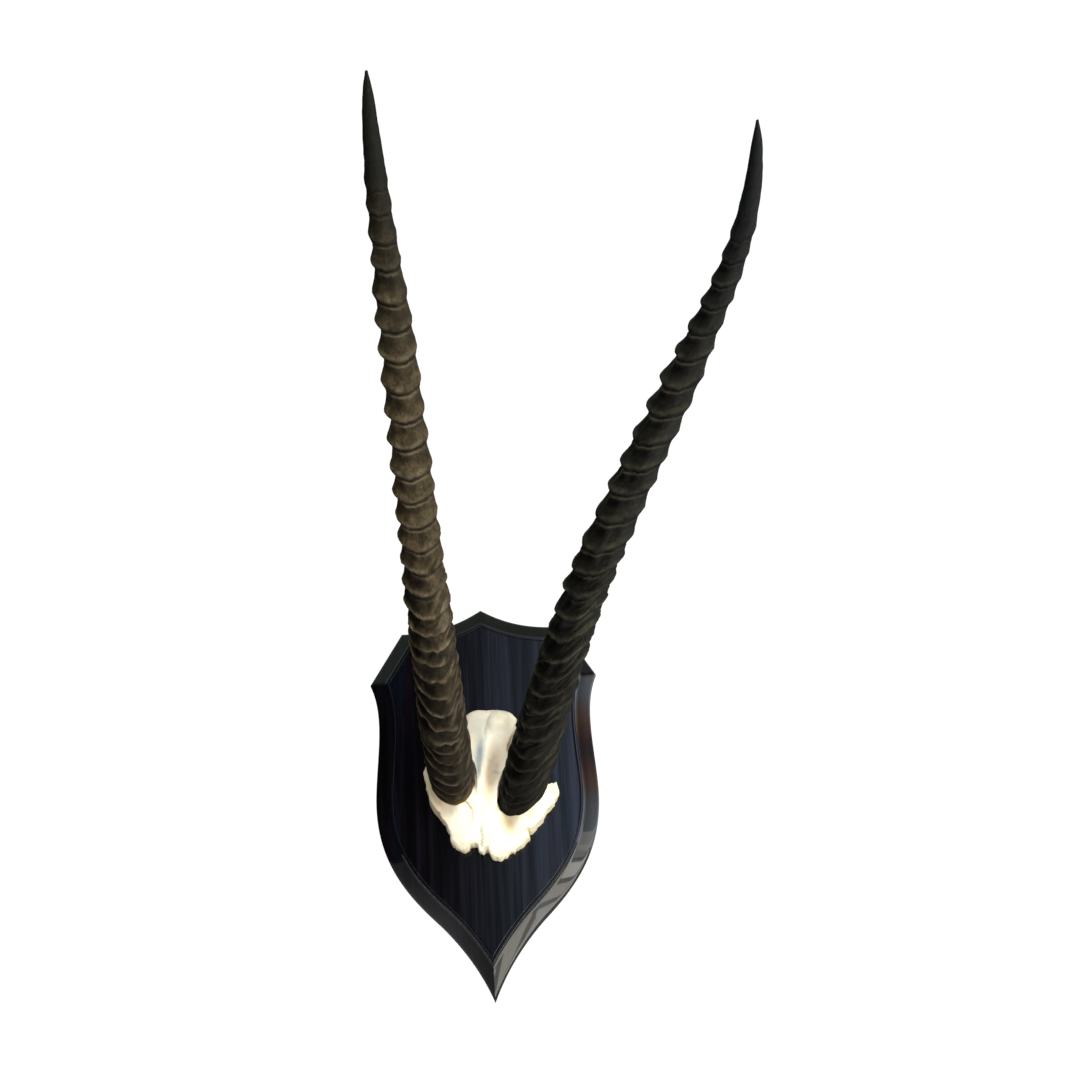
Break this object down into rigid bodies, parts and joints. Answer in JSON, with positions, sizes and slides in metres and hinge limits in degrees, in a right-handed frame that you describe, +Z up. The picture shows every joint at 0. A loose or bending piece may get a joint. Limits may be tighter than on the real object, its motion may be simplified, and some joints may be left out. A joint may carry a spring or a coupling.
{
  "type": "antelope horn trophy on a shield plaque",
  "caption": "Pair of long ringed antelope horns on a bleached skull cap, fixed to a dark moulded shield plaque that hangs on a wall.",
  "frame": {"origin": "on the shield's flat back face, on its vertical centre line and at the middle of its height", "axes": "+Z up along the shield's height, +Y into the wall it hangs on, +X to the right seen from the front"},
  "size_m": [0.4221, 0.575, 0.7698],
  "materials": {
    "lacquered_wood": "near-black stained hardwood under high-gloss lacquer",
    "bleached_bone": "boiled and bleached bone, matt",
    "brown_horn": "brown ringed horn, satin",
    "black_horn": "olive-black ringed horn, satin",
    "zinc_plated_steel": "zinc-plated steel"
  },
  "bodies": {
    "root": {"shield": "lacquered_wood", "skull_cap": "bleached_bone", "horn_left": "brown_horn", "horn_right": "black_horn", "hanger_plate": "zinc_plated_steel", "hanger_screw_top": "zinc_plated_steel", "hanger_screw_bottom": "zinc_plated_steel", "skull_screw_left": "zinc_plated_steel", "skull_screw_right": "zinc_plated_steel"}
  },
  "joints": []
}
